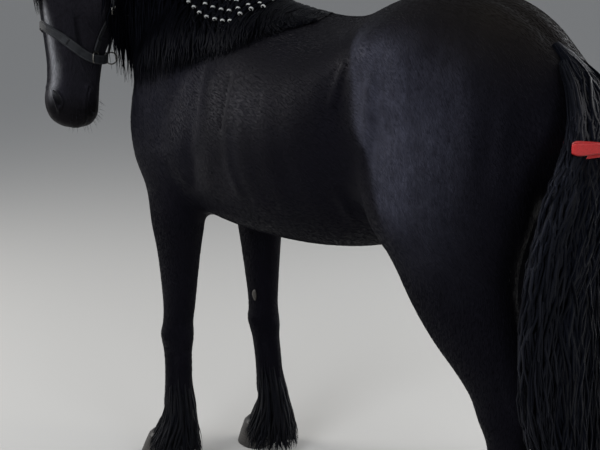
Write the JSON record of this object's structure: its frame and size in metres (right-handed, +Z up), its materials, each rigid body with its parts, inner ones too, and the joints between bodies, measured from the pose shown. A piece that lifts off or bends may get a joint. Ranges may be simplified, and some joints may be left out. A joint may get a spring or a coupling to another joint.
{
  "type": "standing horse figure",
  "caption": "Life-size still figure of a black Friesian horse, standing square with its head turned to its left, with a long net-plaited mane, full tail, feathered feet and a plain halter.",
  "frame": {"origin": "on the floor under the middle of the bounding box", "axes": "+Z up; the horse faces -Y; +X is the horse's left side, the side seen in the picture"},
  "size_m": [0.7151, 1.9434, 1.9469],
  "materials": {
    "coat": "short glossy black hair with a blue-grey sheen",
    "long_hair": "long wavy black hair",
    "horn": "dark hoof horn, satin",
    "eye": "wet dark brown",
    "ribbon": "red satin",
    "mane_bands": "white elastic bands and cord",
    "halter": "dark grey woven webbing"
  },
  "bodies": {
    "root": {"trunk": "coat", "neck": "coat", "head": "coat", "foreleg_left": "coat", "foreleg_right": "coat", "hindleg_left": "coat", "hindleg_right": "coat", "hoof_fore_left": "horn", "hoof_fore_right": "horn", "hoof_hind_left": "horn", "hoof_hind_right": "horn", "feather_fore_left": "long_hair", "feather_fore_right": "long_hair", "feather_hind_left": "long_hair", "feather_hind_right": "long_hair", "eye_left": "eye", "eye_right": "eye", "ear_left": "coat", "ear_right": "coat", "tail": "long_hair", "tail_ribbon": "ribbon", "mane": "long_hair", "mane_bands": "mane_bands", "forelock": "long_hair", "halter": "halter"}
  },
  "joints": []
}
